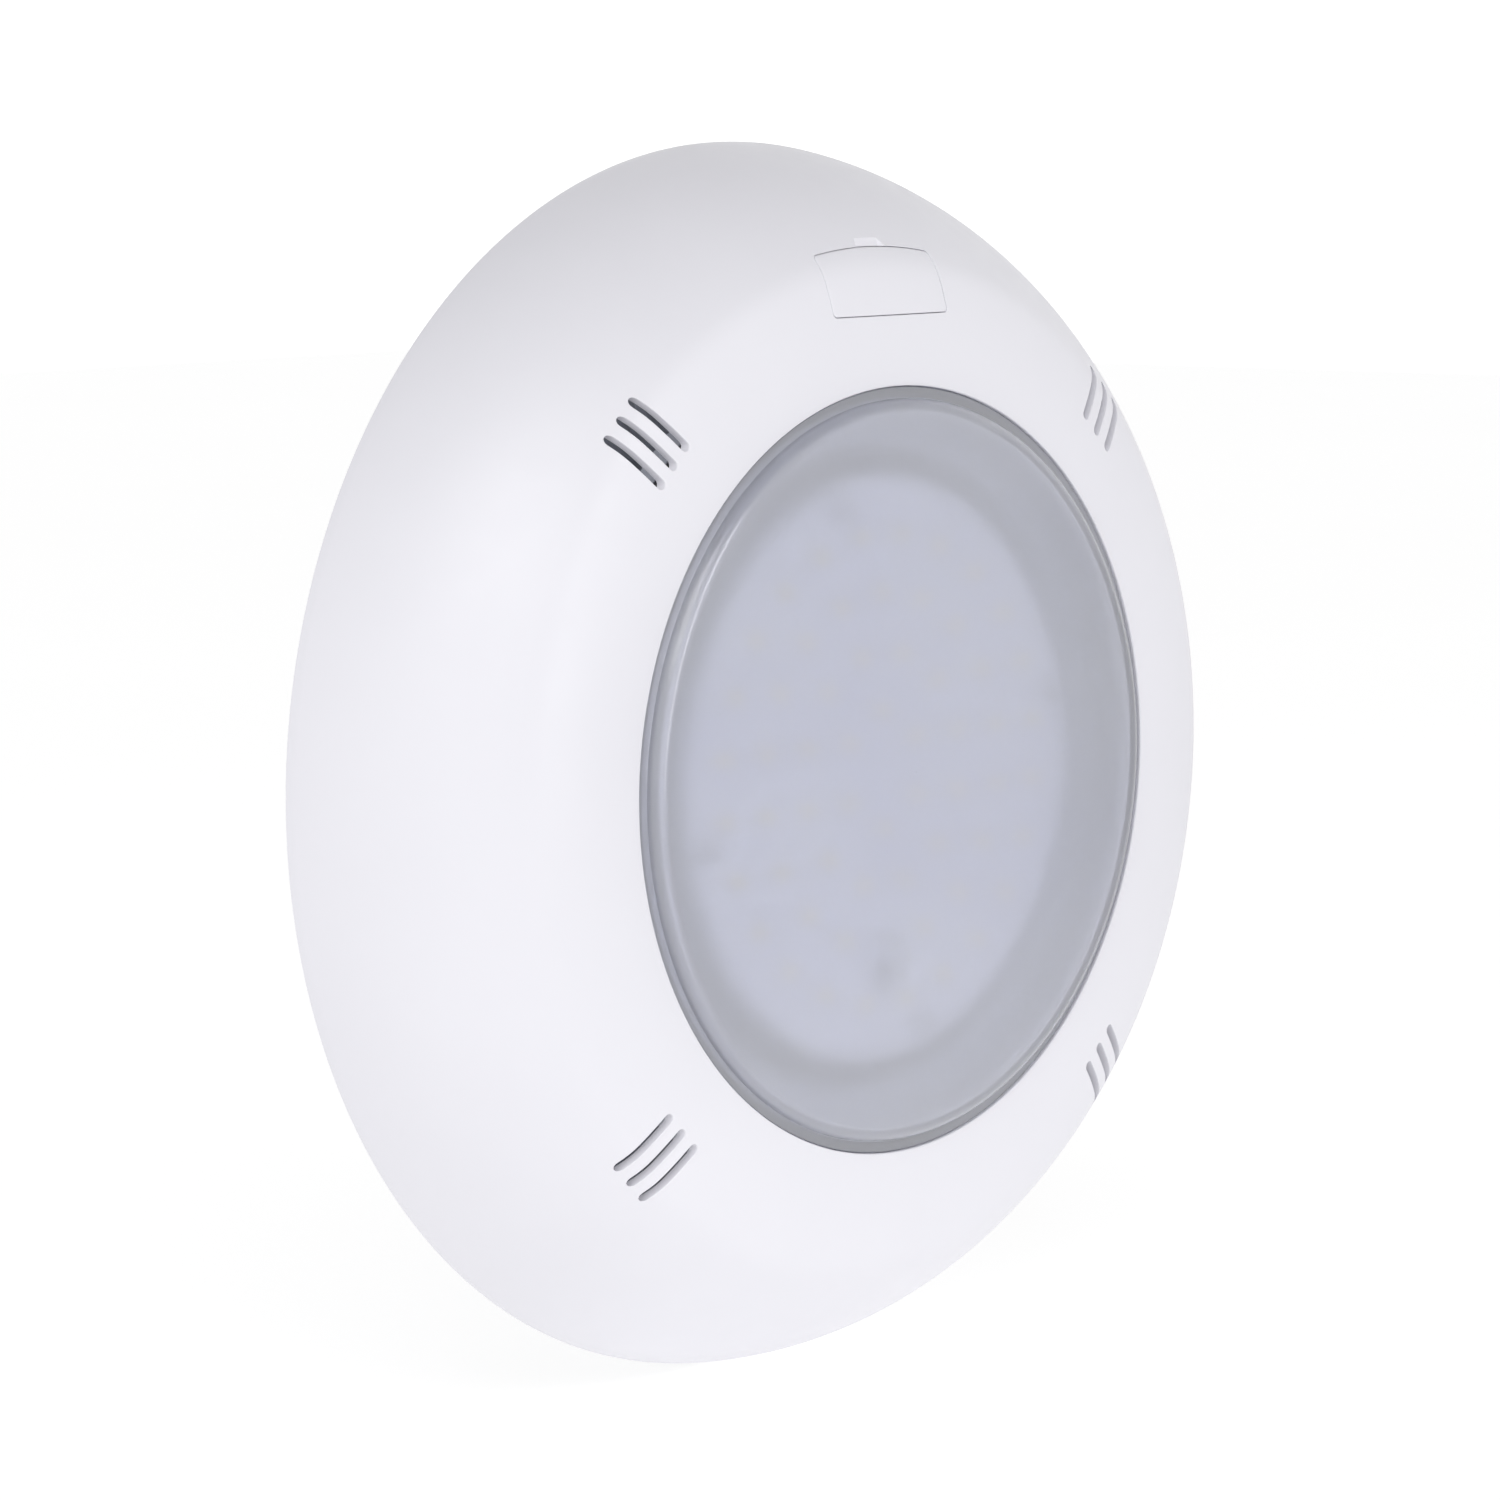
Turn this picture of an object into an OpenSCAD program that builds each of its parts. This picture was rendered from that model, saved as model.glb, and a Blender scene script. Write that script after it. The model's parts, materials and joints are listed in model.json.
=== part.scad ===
// Flat underwater pool light, hung on a wall plate.
// The origin is the centre of the wall plate's back face. The wall is the plane y = 0,
// the light faces -Y, +X is to the right and +Z is up.
// Inside facing(), x is to the right, y is up and z is the distance in front of the wall.

/* [Bezel] */
// Outer diameter of the bezel
bezel_d = 296; // [292:1:304]
// Wall thickness of the bezel
bezel_wall = 2.4; // [2.2:0.2:3.2]
// Gap between the bezel's back edge and the wall
rim_gap = 2.5; // [2:0.25:4]
// Diameter of the opening for the lens
opening_d = 181.8; // [181.6:0.1:182]
// Width of one cooling slot
slot_w = 2.4; // [1.6:0.2:3]
// Distance between neighbouring slots of a group
slot_pitch = 5.76; // [5:0.02:6.4]
// Slots in each of the four groups
slots_per_group = 3; // [1:1:5]

/* [Screw cover] */
// Half of the cover's width
cover_half_w = 20.5; // [19:0.5:23]
// Height of the cover's straight lower edge above the centre
cover_low = 107.4; // [107.2:0.1:107.8]
// Radius of the cover's curved upper edge about the centre
cover_top_r = 123.5; // [123.3:0.1:124.5]
// Gap around the cover
cover_gap = 0.15; // [0.1:0.05:0.3]
// How far the cover can be drawn out
cover_travel = 22; // [18:1:24]

/* [Lens] */
// Outer diameter of the lens
lens_d = 181.5; // [181:0.1:181.6]
// Diameter of the lens's raised middle
lens_body_d = 176; // [174:0.5:177]
// Thickness of the lens
lens_wall = 3; // [2.5:0.25:3]
// Radius of the lens's rounded shoulder
shoulder_r = 3.6; // [3.4:0.1:4]
// Rise of the lens's face from shoulder to centre
lens_rise = 1.3; // [1:0.1:2]

/* [Lamp unit] */
// Outer diameter of the sealed tub
tub_d = 158; // [154:1:158]
// Wall thickness of the tub
tub_wall = 3; // [2.5:0.5:3]
// Diameter of the LED board
led_board_d = 136; // [134:1:137]
// Number of LED rings on the board
led_rings = 4; // [2:1:4]
// Number of clamp ring screws
clamp_screw_count = 8; // [4:2:12]

/* [Wall plate] */
// Diameter of the wall plate
plate_d = 220; // [216:1:222]
// Thickness of the wall plate
plate_t = 4; // [3:0.5:4]
// Diameter of the circle through the wall screw holes
wall_pcd = 190; // [186:1:194]
// Diameter of the wall screw holes
wall_hole_d = 5.2; // [4.2:0.2:5.6]
// Height of the tilt pin below the centre
pivot_drop = 132; // [131:0.5:133]
// Diameter of the tilt pin
pin_d = 5; // [4:0.5:5]

/* [Fixing screw] */
// Height of the fixing screw above the centre
screw_up = 115.6; // [115.2:0.1:115.8]
// Thread diameter of the fixing screw
screw_d = 5; // [4:1:5]

/* [Cable gland] */
// Diameter of the cable that the gland takes
cable_d = 9; // [7:0.5:9]

/* [Hidden] */

$fn = 96;
eps = 0.01;          // overlap that makes cuts and unions clean
far = 200;           // longer than any cut needs

// Colours
white = [0.94, 0.93, 0.95];
grey = [0.62, 0.64, 0.68];
dark = [0.16, 0.16, 0.18];
steel = [0.72, 0.73, 0.75];
aluminium = [0.80, 0.81, 0.83];
board_white = [0.93, 0.94, 0.92];
board_green = [0.10, 0.38, 0.22];
copper = [0.72, 0.42, 0.22];

// Bezel section: arcs [slope at start, slope at end, radius] from the rim to the opening
rim_rise = 1.5;
bezel_arcs = [[90, 80, 12], [80, 40, 74.7], [40, 20, 17.6], [20, 0, 75.1]];
arc_step = 5;
bezel_r = bezel_d / 2;
opening_r = opening_d / 2;
lip_wall = 2.4;
edge_round = 0.4;               // rounding of the opening's edge

// Cover and its pocket
cover_t = 2.4;                  // thickness of the cover's skin
cover_seat = 0.2;               // room under the skin
ledge = 1.5;                    // width of the ledge that the cover rests on
pocket_wall = 2;
pocket_floor = 32;              // front face of the pocket's floor
pocket_floor_t = 2.5;
notch_w = 8;                    // width of the notch's floor
notch_h = 2.4;                  // length of the notch up the slope
notch_floor = 45.5;             // start of its floor above the bezel's back edge
notch_slope = 15;
notch_deep = 3;                 // its slanted sides are cut this high
leg_x = 17.9;                   // place of the cover's two snap legs
leg_t = 1.6;
leg_w = 7;
leg_end = 38;

// Stiffening ribs under the bezel's skin
rib_step_r = 128;               // radius where the ribs reach further back
rib_front_h = 51.5;             // how far back they reach inside that radius
rib_back_h = 13;                // and outside it

// Cooling slots
slot_in = 108.15;               // centre of the inner round end
slot_out = 122.4;               // centre of the outer round end

// Stack in front of the wall
floor_back = 12;
floor_t = 3;
floor_front = floor_back + floor_t;
flange_back = 41;
flange_front = 44;
lens_flange_t = 3;
ring_back = flange_front + lens_flange_t;
ring_t = 3;
ring_front = ring_back + ring_t;
lens_step = 57.3;               // front of the flat ring round the lens's raised middle

// Radii of the lamp unit
tub_r = tub_d / 2;
tub_in = tub_r - tub_wall;
lens_r = lens_d / 2;
lens_body_r = lens_body_d / 2;
lens_flange_r = 96;
seat_r = lens_flange_r + 0.4;
flange_r = 103;
groove_in = 90.5;
groove_out = 94.5;
groove_deep = 1.6;
clamp_screw_r = 99.2;           // circle of the clamp screws
clamp_ring_r = 102.6;
ear_r = 108.6;                  // circle of the bezel screws
ear_angles = [20, 160, 200, 340];
ear_half = 6;

// LED stack
spreader_back = 45.9;
spreader_t = 2;
pad_t = 0.5;
led_board_t = 1.6;
spreader_front = spreader_back + spreader_t;
led_board_back = spreader_front + pad_t;
led_board_front = led_board_back + led_board_t;
spreader_r = 70;
led_board_r = led_board_d / 2;
standoff_r = 63.5;              // circle of the spacers
standoff_first = 12;            // angle of the first spacer
first_led_ring = 14;
led_ring_step = 14;
led_size = [3.5, 2.8, 0.9];
wire_hole_y = -50;
wire_hole_r = 3.6;
wire_clear = 8.5;               // no LED stands nearer to the hole's centre
wire_r = 0.9;
wire_x = 2.2;

// Driver
driver_back = 22;
driver_t = 1.6;
driver_front = driver_back + driver_t;
driver_r = 56;
driver_post_r = 50;             // circle of the driver's posts
toroid_at = [-28, 16];
toroid_r = 12;
toroid_section = [6, 9];        // width and height of the core

// Small screws
m3_r = 1.5;
m4_r = 2;

// Wall plate
plate_r = plate_d / 2;
rib_front = 8;
pivot_out = 9;                  // distance of the tilt pin from the wall
pin_r = pin_d / 2;
pin_half = 41;
pin_play = 0.05;
rib_x = 36;                     // inner face of the bezel's two pin ribs
rib_t = 4;
cradle_x = 22;                  // inner face of each cradle
cradle_w = 8;
lug_back = 5;                   // back face of the upper lug's bridge
lug_front = 7;
clip_t = 1;
clip_front = lug_front + clip_t;

// Fixing screw
screw_r = screw_d / 2;
screw_tip = 4.5;
washer_t = 1.2;
washer_r = 6;
head_r = 4.6;
head_t = 3.2;
pillar_r = 5.5;
pillar_bore = screw_r + 0.35;
pillar_back = clip_front + 0.3;

// Cable gland
cable_r = cable_d / 2;
gland_end = 0.5;
grommet_r = 6.3;
neck_r = 6;

// ---- Helpers ----

module facing() { rotate([90, 0, 0]) children(); }

// Places children at a radius and an angle, with x pointing outward
module polar(r, angle) { rotate([0, 0, angle]) translate([r, 0, 0]) children(); }

// Ring between two radii and two distances from the wall
module ring(inner, outer, back, front) {
    rotate_extrude() translate([inner, back]) square([outer - inner, front - back]);
}

module disc(r, back, front) { translate([0, 0, back]) cylinder(h = front - back, r = r); }

// Box given by its centre line: width and height about a place, between two distances
module block(at, size, back, front) {
    translate([at[0] - size[0] / 2, at[1] - size[1] / 2, back])
        cube([size[0], size[1], front - back]);
}

// Hexagon prism by its width across flats
module hexagon(flats, back, front) {
    translate([0, 0, back]) cylinder(h = front - back, r = flats / sqrt(3), $fn = 6);
}

// Straight screw with a round head, its tip at the back and its head in front
module round_screw(r, head, tip, seat, head_top) {
    disc(r, tip, seat + eps);
    difference() {
        disc(head, seat, head_top);
        cross_recess(head, head_top);
    }
}

module cross_recess(head, top) {
    for (turn = [0, 90]) rotate([0, 0, turn])
        block([0, 0], [head * 1.1, head * 0.26], top - head * 0.3, top + 1);
}

// Slope direction of the bezel's surface: 90 at the rim, 0 at the opening
function outward(slope) = [sin(slope), cos(slope)];

// Point where arc number i starts, on the surface moved inward by inset
function arc_start(i) = i == 0
    ? [bezel_r, rim_rise]
    : arc_start(i - 1) + bezel_arcs[i - 1][2]
        * (outward(bezel_arcs[i - 1][1]) - outward(bezel_arcs[i - 1][0]));

function arc_point(i, slope, inset) =
    arc_start(i) - bezel_arcs[i][2] * outward(bezel_arcs[i][0])
    + (bezel_arcs[i][2] - inset) * outward(slope);

function section_points(inset) = concat(
    [[bezel_r - inset, 0]],
    [for (i = [0 : len(bezel_arcs) - 1])
        for (slope = [bezel_arcs[i][0] : -arc_step : bezel_arcs[i][1] + 1])
            arc_point(i, slope, inset)],
    [arc_point(len(bezel_arcs) - 1, 0, inset)]);

// Height of the bezel's highest ring above its back edge
function crest() = arc_point(len(bezel_arcs) - 1, 0, 0)[1];

// Solid under the bezel's surface moved inward by inset, closed to the axis
module dome(inset) {
    points = section_points(inset);
    translate([0, 0, rim_gap])
        rotate_extrude() polygon(concat([[0, 0]], points, [[0, crest() - inset]]));
}

// What the rounded edge of the bezel's opening leaves away
module opening_edge() {
    translate([0, 0, rim_gap + crest() - edge_round]) rotate_extrude() difference() {
        translate([opening_r - 1, 0]) square([edge_round + 1, edge_round + 1]);
        translate([opening_r + edge_round, 0]) circle(r = edge_round);
    }
}

// ---- Wall plate and pivot ----

module wall_plate() {
    color(grey) facing() {
        difference() {
            union() {
                disc(plate_r, 0, plate_t);
                ring(plate_r - 5, plate_r - 1, plate_t - eps, rib_front);
                ring(22, 25, plate_t - eps, rib_front);
                for (k = [0 : 7]) rotate([0, 0, 22.5 + 45 * k])
                    block([65, 0], [84, 3], plate_t - eps, rib_front);
                block([0, -118], [64, 39], 0, plate_t);
                for (side = [-1, 1])
                    block([side * (cradle_x + cradle_w / 2), -pivot_drop], [cradle_w, 11],
                        plate_t - eps, pivot_out + 5);
                block([0, screw_up - 4.4], [28, 26], 0, plate_t);
                for (side = [-1, 1])
                    block([side * 12, screw_up - 2.9], [4, 23], plate_t - eps, lug_front);
                block([0, screw_up - 2.9], [22, 23], lug_back, lug_front);
            }
            disc(14.6, -1, rib_front + 1);
            for (k = [0 : 3]) polar(wall_pcd / 2, 45 + 90 * k) disc(wall_hole_d / 2, -1, rib_front);
            // Shallow round pockets in the back
            for (k = [0 : 7]) polar(66, 45 * k) disc(14, -1, 1.6);
            for (k = [0 : 7]) polar(96, 22.5 + 45 * k) disc(6, -1, 1.6);
            // Cradles, open upward
            translate([-far / 2, -pivot_drop, pivot_out]) rotate([0, 90, 0])
                cylinder(h = far, r = pin_r + pin_play);
            for (side = [-1, 1])
                block([side * (cradle_x + cradle_w / 2), 10 - pivot_drop], [cradle_w + 2, 20],
                    pivot_out - pin_r - pin_play, pivot_out + pin_r + pin_play);
            // Room for the screw and the clip
            translate([0, screw_up, 0]) disc(3.5, -1, lug_front + 1);
            block([0, screw_up + 3], [17, 14], -1, lug_back);
            block([0, screw_up - 2.4], [18, 30], plate_t, lug_back);
            block([0, screw_up - 2.4], [18, 30], lug_front, rib_front + 1);
        }
    }
}

module clip_nut() {
    color(steel) facing() difference() {
        union() {
            block([0, screw_up + 1], [14, 16], lug_front, clip_front);
            block([0, screw_up + 1], [14, 16], lug_back - clip_t, lug_back);
            block([0, screw_up + 9.2], [14, clip_t], lug_back - clip_t, clip_front);
        }
        translate([0, screw_up, 0]) disc(screw_r + 0.15, lug_front - 1, clip_front + 1);
        translate([0, screw_up, 0]) disc(screw_r + 0.7, 0, lug_back + 1);
    }
}

module pivot_pin() {
    color(steel) facing() translate([-pin_half, -pivot_drop, pivot_out])
        rotate([0, 90, 0]) cylinder(h = 2 * pin_half, r = pin_r);
}

module pin_clips() {
    color(steel) facing() for (side = [-1, 1])
        translate([side * (rib_x + rib_t + 0.1) - (side < 0 ? 0.8 : 0), -pivot_drop, pivot_out])
            rotate([0, 90, 0]) difference() {
                cylinder(h = 0.8, r = pin_r + 2);
                translate([0, 0, -1]) cylinder(h = 3, r = pin_r + 0.02);
            }
}

// ---- Bezel ----

// Outline of the screw cover, grown by grow
module cover_outline(grow) {
    intersection() {
        translate([-cover_half_w - grow, cover_low - grow])
            square([2 * (cover_half_w + grow), 30]);
        circle(r = cover_top_r + grow);
    }
}

module cover_prism(grow, back) { translate([0, 0, back]) linear_extrude(far) cover_outline(grow); }

module slot_group() {
    for (k = [0 : slots_per_group - 1])
        translate([0, (k - (slots_per_group - 1) / 2) * slot_pitch, 25]) linear_extrude(60) {
            translate([slot_in, -slot_w / 2]) square([slot_out - slot_in, slot_w]);
            for (r = [slot_in, slot_out]) translate([r, 0]) circle(d = slot_w, $fn = 24);
        }
}

// Rib under the bezel's skin, stepped clear of the lamp unit and of the wall plate
module stiffening_rib() {
    rib_section = [[opening_r + 1, rib_front_h], [rib_step_r, rib_front_h],
        [rib_step_r, rib_back_h], [bezel_r, rib_back_h], [bezel_r, far], [opening_r + 1, far]];
    rotate([90, 0, 0]) translate([0, 0, -1]) linear_extrude(2) polygon(rib_section);
}

// Notch above the cover that a flat tool gets under
module pry_notch() {
    half = notch_w / 2;
    top = half + notch_deep;
    translate([0, cover_top_r, rim_gap + notch_floor]) rotate([90 - notch_slope, 0, 0])
        translate([0, 0, -notch_h]) linear_extrude(notch_h + 1)
            polygon([[-half, 0], [half, 0], [top, notch_deep], [-top, notch_deep]]);
}

module bezel() {
    color(white) facing() difference() {
        union() {
            difference() {
                dome(0);
                dome(bezel_wall);
                disc(opening_r, 0, far);
            }
            ring(opening_r, opening_r + lip_wall, ring_front, rim_gap + crest() - edge_round);
            intersection() {
                dome(bezel_wall / 2);
                union() {
                    // Pocket, pillar, screw bosses, pin ribs and stiffening ribs
                    cover_prism(pocket_wall, pocket_floor - pocket_floor_t);
                    translate([0, screw_up, 0]) disc(pillar_r, pillar_back, pocket_floor);
                    for (a = ear_angles) polar(ear_r, a) disc(4.5, flange_front, far);
                    for (side = [-1, 1])
                        block([side * (rib_x + rib_t / 2), 6 - pivot_drop], [rib_t, 24], 4.2, far);
                    for (a = [0, 65, 115, 180, 245, 295]) rotate([0, 0, a])
                        stiffening_rib();
                }
            }
        }
        // Cover seat and screw pocket
        difference() {
            cover_prism(0, pocket_floor);
            dome(cover_t + cover_seat);
        }
        cover_prism(-ledge, pocket_floor);
        pry_notch();
        opening_edge();
        // Bores
        translate([0, screw_up, 0]) disc(pillar_bore, 0, far);
        for (a = ear_angles) polar(ear_r, a) disc(m4_r + 0.05, 0, 51.5);
        translate([-pin_half - 1, -pivot_drop, pivot_out]) rotate([0, 90, 0])
            cylinder(h = 2 * pin_half + 2, r = pin_r + 0.02);
        for (a = [45, 135, 225, 315]) rotate([0, 0, a]) slot_group();
    }
}

module bezel_screws() {
    color(steel) facing() for (a = ear_angles) polar(ear_r, a) {
        disc(m4_r, flange_back - eps, 50.5);
        difference() {
            disc(3.8, flange_back - 2.6, flange_back);
            for (turn = [0, 90]) rotate([0, 0, turn])
                block([0, 0], [4.4, 1.1], flange_back - 4, flange_back - 1.5);
        }
    }
}

// ---- Cover and fixing screw ----

module screw_cover() {
    color(white) facing() {
        difference() {
            intersection() {
                dome(0);
                cover_prism(-cover_gap, pocket_floor);
            }
            dome(cover_t);
        }
        for (side = [-1, 1]) intersection() {
            dome(cover_t / 2);
            block([side * leg_x, screw_up], [leg_t, leg_w], leg_end, far);
        }
    }
}

module retaining_washer() {
    color(dark) facing() translate([0, screw_up, 0])
        ring(screw_r + 0.05, washer_r, pocket_floor, pocket_floor + washer_t);
}

module fixing_screw() {
    seat = pocket_floor + washer_t;
    color(steel) facing() translate([0, screw_up, 0])
        round_screw(screw_r, head_r, screw_tip, seat, seat + head_t);
}

// ---- Sealed housing and lens ----

module housing() {
    color(grey) facing() difference() {
        union() {
            disc(tub_r, floor_back, flange_back + eps);
            disc(flange_r, flange_back, ring_back);
            for (a = ear_angles) rotate([0, 0, a]) {
                translate([ear_r, 0, 0]) disc(ear_half, flange_back, flange_front);
                block([ear_r - 6, 0], [12, 2 * ear_half], flange_back, flange_front);
            }
            for (k = [0 : 15]) rotate([0, 0, 11.25 + 22.5 * k])
                translate([tub_r - 1, -1.2, 36]) cube([17, 2.4, 5.5]);
        }
        difference() {
            disc(tub_in, floor_front, far);
            for (k = [0 : 3]) polar(driver_post_r, 45 + 90 * k) disc(3.5, 0, driver_back);
            for (k = [0 : 3]) polar(standoff_r, standoff_first + 90 * k) disc(6, 0, floor_front + 2);
        }
        disc(seat_r, flange_front, far);
        ring(groove_in, groove_out, flange_front - groove_deep, flange_front + 1);
        disc(neck_r + 0.15, 0, far);
        for (k = [0 : 3]) polar(driver_post_r, 45 + 90 * k) disc(1.3, 16, far);
        for (k = [1 : clamp_screw_count]) polar(clamp_screw_r, 360 / clamp_screw_count * k)
            disc(m3_r + 0.05, flange_back + 1, far);
        for (a = ear_angles) polar(ear_r, a) disc(m4_r + 0.3, 0, far);
    }
}

module lens_gasket() {
    color(dark) facing() ring(groove_in + 0.1, groove_out - 0.1,
        flange_front - groove_deep, flange_front);
}

// Section of the lens: outer face if inset is 0, inner face if it is the wall
module lens_section(inset) {
    r = shoulder_r - inset;
    flat_r = lens_body_r - shoulder_r;
    tilt = atan(2 * lens_rise / flat_r);
    face_r = flat_r / sin(tilt);
    centre = [flat_r, lens_step];
    crown = centre + (shoulder_r - face_r) * outward(tilt);
    turn = inset > 0 ? 15 : 7.5;
    polygon(concat(
        [[0, flange_front - inset], [lens_r - inset, flange_front - inset],
            [lens_r - inset, lens_step - inset]],
        [for (a = [90 : -turn : tilt + 1]) centre + r * outward(a)],
        [for (k = [12 : -1 : 0]) crown + (face_r - inset) * outward(tilt * k / 12)]));
}

module lens() {
    color([0.78, 0.79, 0.87, 0.8]) facing() rotate_extrude() union() {
        difference() {
            lens_section(0);
            lens_section(lens_wall);
        }
        translate([lens_r - lens_wall, flange_front])
            square([lens_flange_r - lens_r + lens_wall, lens_flange_t]);
    }
}

module clamp_ring() {
    color(dark) facing() difference() {
        ring(opening_r, clamp_ring_r, ring_back, ring_front);
        for (k = [1 : clamp_screw_count]) polar(clamp_screw_r, 360 / clamp_screw_count * k) {
            disc(m3_r + 0.2, 0, far);
            disc(3, ring_front - 1.9, far);
        }
    }
}

module clamp_screws() {
    color(steel) facing() for (k = [1 : clamp_screw_count])
        polar(clamp_screw_r, 360 / clamp_screw_count * k)
            round_screw(m3_r, 2.8, flange_back + 1.2, ring_front - 1.9, ring_front - 0.1);
}

// ---- LED stack ----

module board_holes(r) {
    for (k = [0 : 3]) polar(standoff_r, standoff_first + 90 * k) disc(r, 0, far);
    translate([0, wire_hole_y, 0]) disc(wire_hole_r, 0, far);
}

module heat_spreader() {
    color(aluminium) facing() difference() {
        disc(spreader_r, spreader_back, spreader_front);
        board_holes(m3_r + 0.2);
    }
}

module thermal_pad() {
    color([0.45, 0.55, 0.70]) facing() difference() {
        disc(led_board_r - 1, spreader_front, led_board_back);
        board_holes(m3_r + 0.8);
    }
}

module led_board() {
    color(board_white) facing() difference() {
        disc(led_board_r, led_board_back, led_board_front);
        board_holes(m3_r + 0.2);
    }
}

module led_chips() {
    color([0.95, 0.85, 0.45]) facing() for (ring_no = [0 : led_rings - 1]) {
        r = first_led_ring + led_ring_step * ring_no;
        count = 6 + 6 * ring_no;
        for (k = [0 : count - 1]) {
            a = 360 / count * (k + 0.5);
            near_hole = norm([r * cos(a), r * sin(a) - wire_hole_y]) < wire_clear;
            if (!near_hole) polar(r, a) block([0, 0], [led_size[0], led_size[1]],
                led_board_front, led_board_front + led_size[2]);
        }
    }
}

module board_standoffs() {
    color([0.80, 0.68, 0.38]) facing() for (k = [0 : 3])
        polar(standoff_r, standoff_first + 90 * k) difference() {
            hexagon(6, floor_front + 2, spreader_back);
            disc(m3_r + 0.05, spreader_back - 10, far);
        }
}

module board_screws() {
    color(steel) facing() for (k = [0 : 3]) polar(standoff_r, standoff_first + 90 * k)
        round_screw(m3_r, 2.9, spreader_back - 8, led_board_front, led_board_front + 2);
}

// ---- Driver ----

module driver_board() {
    color(board_green) facing() difference() {
        disc(driver_r, driver_back, driver_front);
        for (k = [0 : 3]) polar(driver_post_r, 45 + 90 * k) disc(m3_r + 0.2, 0, far);
        disc(10.5, 0, far);
    }
}

module driver_screws() {
    color(steel) facing() for (k = [0 : 3]) polar(driver_post_r, 45 + 90 * k)
        round_screw(1.25, 2.9, 17, driver_front, driver_front + 2);
}

module toroid_core() {
    color(dark) facing() translate([toroid_at[0], toroid_at[1], 0])
        ring(toroid_r - toroid_section[0] / 2, toroid_r + toroid_section[0] / 2,
            driver_front + 2, driver_front + 2 + toroid_section[1]);
}

// Winding: a sleeve of square turns round most of the core
module toroid_winding() {
    back = driver_front + 2;
    front = back + toroid_section[1];
    inner = toroid_r - toroid_section[0] / 2;
    outer = toroid_r + toroid_section[0] / 2;
    color(copper) facing() translate([toroid_at[0], toroid_at[1], 0])
        for (k = [0 : 19]) rotate([0, 0, 14 * k]) difference() {
            block([toroid_r, 0], [toroid_section[0] + 2.4, 1.2], back - 1.2, front + 1.2);
            ring(inner, outer, back, front);
        }
}

module capacitors() {
    color([0.22, 0.24, 0.32]) facing() for (x = [14, 28, 42])
        translate([x, 14, 0]) disc(5.5, driver_front, driver_front + 15);
}

module rectifier() {
    color(dark) facing() block([-6, 32], [20, 5], driver_front, driver_front + 14);
}

module driver_chips() {
    color(dark) facing() {
        block([24, -12], [10, 8], driver_front, driver_front + 2.5);
        block([38, -16], [7, 6], driver_front, driver_front + 2);
        block([22, -30], [9, 9], driver_front, driver_front + 5);
        for (k = [0 : 4]) block([-40 + 5 * k, -6], [3.2, 1.6], driver_front, driver_front + 1);
    }
}

module terminal_block() {
    color([0.16, 0.42, 0.30]) facing() difference() {
        block([-24, -30], [15, 10], driver_front, driver_front + 12);
        for (x = [-28, -24 + 4]) {
            translate([x, -30, 0]) disc(2, driver_front + 6, far);
            translate([x, -20, driver_front + 4]) rotate([90, 0, 0]) cylinder(h = 12, r = 1.6);
        }
    }
}

module terminal_screws() {
    color(steel) facing() for (x = [-28, -20]) translate([x, -30, 0])
        round_screw(1.2, 1.8, driver_front + 6, driver_front + 8, driver_front + 10);
}

// Each wire stands on the driver, passes the hole in the boards and arches on to a pad
module lead_wires() {
    arch_r = 5;
    color([0.88, 0.88, 0.86]) facing() for (side = [-1, 1])
        translate([side * wire_x, wire_hole_y, 0]) {
            disc(wire_r, driver_front, led_board_front + 1);
            translate([0, arch_r, led_board_front + 1]) rotate([0, -90, 0]) rotate([0, 0, -90])
                rotate_extrude(angle = 180) translate([arch_r, 0]) circle(r = wire_r);
            translate([0, 2 * arch_r, 0]) disc(wire_r, led_board_front, led_board_front + 1);
        }
}

// ---- Cable gland ----

module gland_body() {
    color(dark) facing() difference() {
        union() {
            disc(8, 2.4, 8 + eps);
            hexagon(21, 8, 11);
            disc(neck_r, 11 - eps, 20);
        }
        disc(cable_r, 0, far);
        disc(grommet_r + 0.1, 0, 8);
    }
}

module gland_seal() { color(dark) facing() ring(neck_r + 0.2, 9, 11, floor_back); }

module gland_locknut() {
    color(dark) facing() difference() {
        hexagon(18, floor_front, floor_front + 3.5);
        disc(neck_r + 0.04, 0, far);
    }
}

module gland_grommet() { color([0.1, 0.1, 0.1]) facing() ring(cable_r, grommet_r, 2, 8); }

module gland_nut() {
    color(dark) facing() difference() {
        hexagon(21, gland_end, 7.8);
        disc(cable_r, 0, far);
        disc(8.05, 2, far);
    }
}

wall_plate();
clip_nut();
bezel();
pivot_pin();
pin_clips();
bezel_screws();
housing();
lens_gasket();
lens();
clamp_ring();
clamp_screws();
heat_spreader();
thermal_pad();
led_board();
led_chips();
board_standoffs();
board_screws();
driver_board();
driver_screws();
toroid_core();
toroid_winding();
capacitors();
rectifier();
driver_chips();
terminal_block();
terminal_screws();
lead_wires();
gland_body();
gland_seal();
gland_locknut();
gland_grommet();
gland_nut();
retaining_washer();
fixing_screw();
screw_cover();
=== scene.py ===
"""Looks of a flat underwater pool light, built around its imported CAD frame.

Sizes are in millimetres inside the helpers and become metres when a mesh is made.
A local point is (x, up, out): x to the right, up along +Z, out along -Y from the wall.
"""
import json
import math

import bmesh
import bpy
from mathutils import Matrix, Vector


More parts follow.
